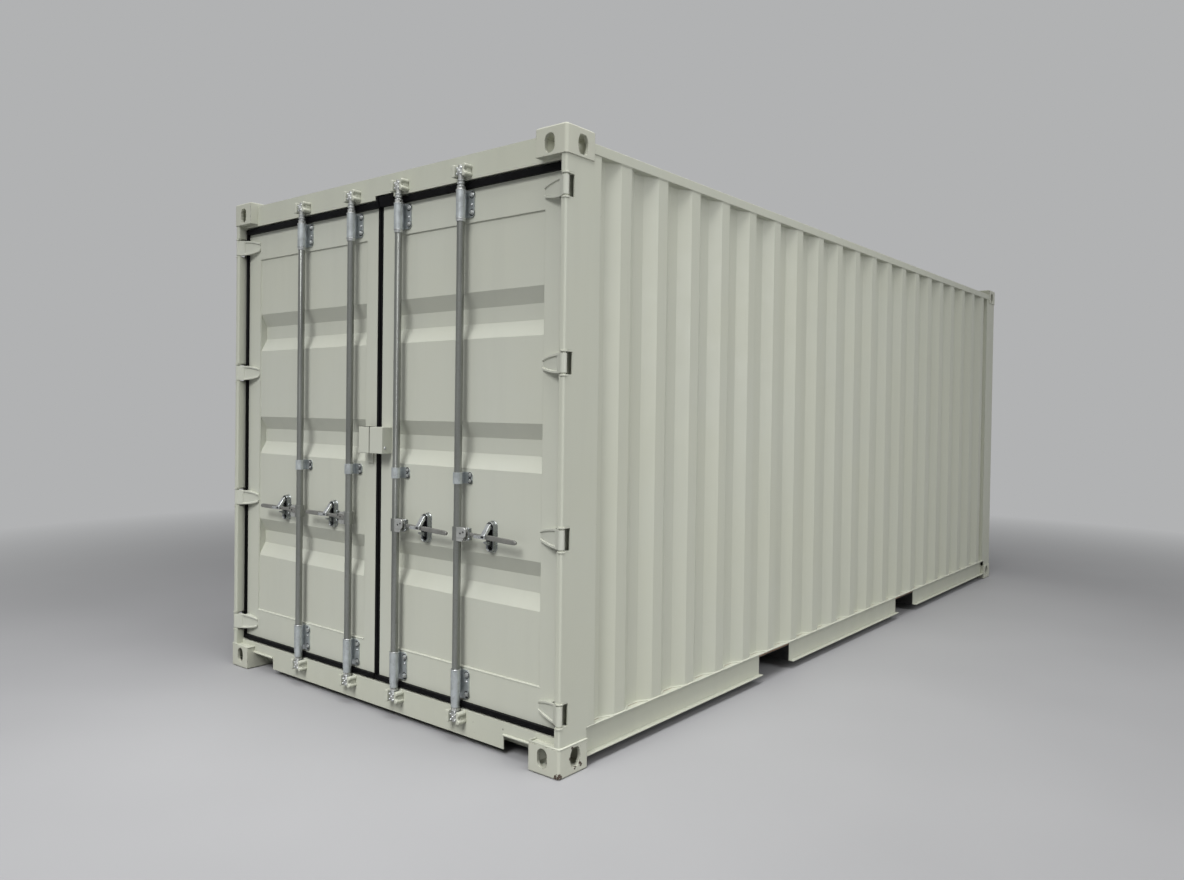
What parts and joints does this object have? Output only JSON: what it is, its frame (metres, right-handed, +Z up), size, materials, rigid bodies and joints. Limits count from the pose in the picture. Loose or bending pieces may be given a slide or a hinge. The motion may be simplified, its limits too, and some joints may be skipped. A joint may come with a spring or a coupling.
{
  "type": "shipping container",
  "caption": "Closed steel shipping container with corrugated walls, hollow corner castings, fork pockets and swinging end doors with lock rods and handles.",
  "frame": {"origin": "centre of the footprint at the base of the bottom corner castings", "axes": "+X along the length towards the blind front end, the doors at -X; +Y to the left side seen from the doors; +Z up"},
  "size_m": [6.058, 2.438, 2.591],
  "materials": {
    "cream_paint": "satin",
    "zinc_steel": "satin",
    "black_rubber": "matte",
    "plywood": "satin",
    "underside_coating": "matte"
  },
  "bodies": {
    "frame": {"bottom_corner_castings": "cream_paint", "top_corner_castings": "cream_paint", "rear_posts": "cream_paint", "rear_post_channels": "cream_paint", "front_posts": "cream_paint", "door_header": "cream_paint", "door_sill": "cream_paint", "top_keepers": "cream_paint", "bottom_keepers": "cream_paint", "hinge_lugs": "cream_paint", "bottom_side_rails": "cream_paint", "top_side_rails": "cream_paint", "left_side_wall": "cream_paint", "right_side_wall": "cream_paint", "front_wall": "cream_paint", "front_top_rail": "cream_paint", "front_bottom_rail": "cream_paint", "roof_panel": "cream_paint", "floor_boards": "plywood", "cross_members": "underside_coating", "forklift_pockets": "underside_coating"},
    "left_door": {"left_door_frame": "cream_paint", "left_door_panel": "cream_paint", "left_door_gasket": "black_rubber", "left_hinge_blades": "cream_paint", "left_rod_guides": "zinc_steel", "left_handle_retainers": "zinc_steel", "left_lock_box": "cream_paint"},
    "left_outer_lock_rod": {"left_outer_lock_rod": "zinc_steel"},
    "left_outer_handle": {"left_outer_handle": "zinc_steel"},
    "left_inner_lock_rod": {"left_inner_lock_rod": "zinc_steel"},
    "left_inner_handle": {"left_inner_handle": "zinc_steel"},
    "right_door": {"right_door_frame": "cream_paint", "right_door_panel": "cream_paint", "right_door_gasket": "black_rubber", "right_hinge_blades": "cream_paint", "right_rod_guides": "zinc_steel", "right_handle_retainers": "zinc_steel", "right_lock_box": "cream_paint"},
    "right_outer_lock_rod": {"right_outer_lock_rod": "zinc_steel"},
    "right_outer_handle": {"right_outer_handle": "zinc_steel"},
    "right_inner_lock_rod": {"right_inner_lock_rod": "zinc_steel"},
    "right_inner_handle": {"right_inner_handle": "zinc_steel"}
  },
  "joints": [
    {"name": "left_door_hinge", "type": "hinge", "parent": "frame", "child": "left_door", "pos_m": [-3.012, 1.202, 0.25], "axis": [0, 0, -1], "range_deg": [0, 260]},
    {"name": "left_outer_rod_turn", "type": "hinge", "parent": "left_door", "child": "left_outer_lock_rod", "pos_m": [-3.006, 0.6, 0.918], "axis": [0, 0, -1], "range_deg": [-90, 0]},
    {"name": "left_outer_handle_lift", "type": "hinge", "parent": "left_outer_lock_rod", "child": "left_outer_handle", "pos_m": [-3.009, 0.64, 0.918], "axis": [1, 0, 0], "range_deg": [0, 25]},
    {"name": "left_inner_rod_turn", "type": "hinge", "parent": "left_door", "child": "left_inner_lock_rod", "pos_m": [-3.006, 0.18, 0.918], "axis": [0, 0, -1], "range_deg": [-90, 0]},
    {"name": "left_inner_handle_lift", "type": "hinge", "parent": "left_inner_lock_rod", "child": "left_inner_handle", "pos_m": [-3.009, 0.22, 0.918], "axis": [1, 0, 0], "range_deg": [0, 25]},
    {"name": "right_door_hinge", "type": "hinge", "parent": "frame", "child": "right_door", "pos_m": [-3.012, -1.202, 0.25], "axis": [0, 0, 1], "range_deg": [0, 260]},
    {"name": "right_outer_rod_turn", "type": "hinge", "parent": "right_door", "child": "right_outer_lock_rod", "pos_m": [-3.006, -0.6, 0.918], "axis": [0, 0, 1], "range_deg": [-90, 0]},
    {"name": "right_outer_handle_lift", "type": "hinge", "parent": "right_outer_lock_rod", "child": "right_outer_handle", "pos_m": [-3.009, -0.64, 0.918], "axis": [-1, 0, 0], "range_deg": [0, 25]},
    {"name": "right_inner_rod_turn", "type": "hinge", "parent": "right_door", "child": "right_inner_lock_rod", "pos_m": [-3.006, -0.18, 0.918], "axis": [0, 0, 1], "range_deg": [-90, 0]},
    {"name": "right_inner_handle_lift", "type": "hinge", "parent": "right_inner_lock_rod", "child": "right_inner_handle", "pos_m": [-3.009, -0.22, 0.918], "axis": [-1, 0, 0], "range_deg": [0, 25]}
  ]
}
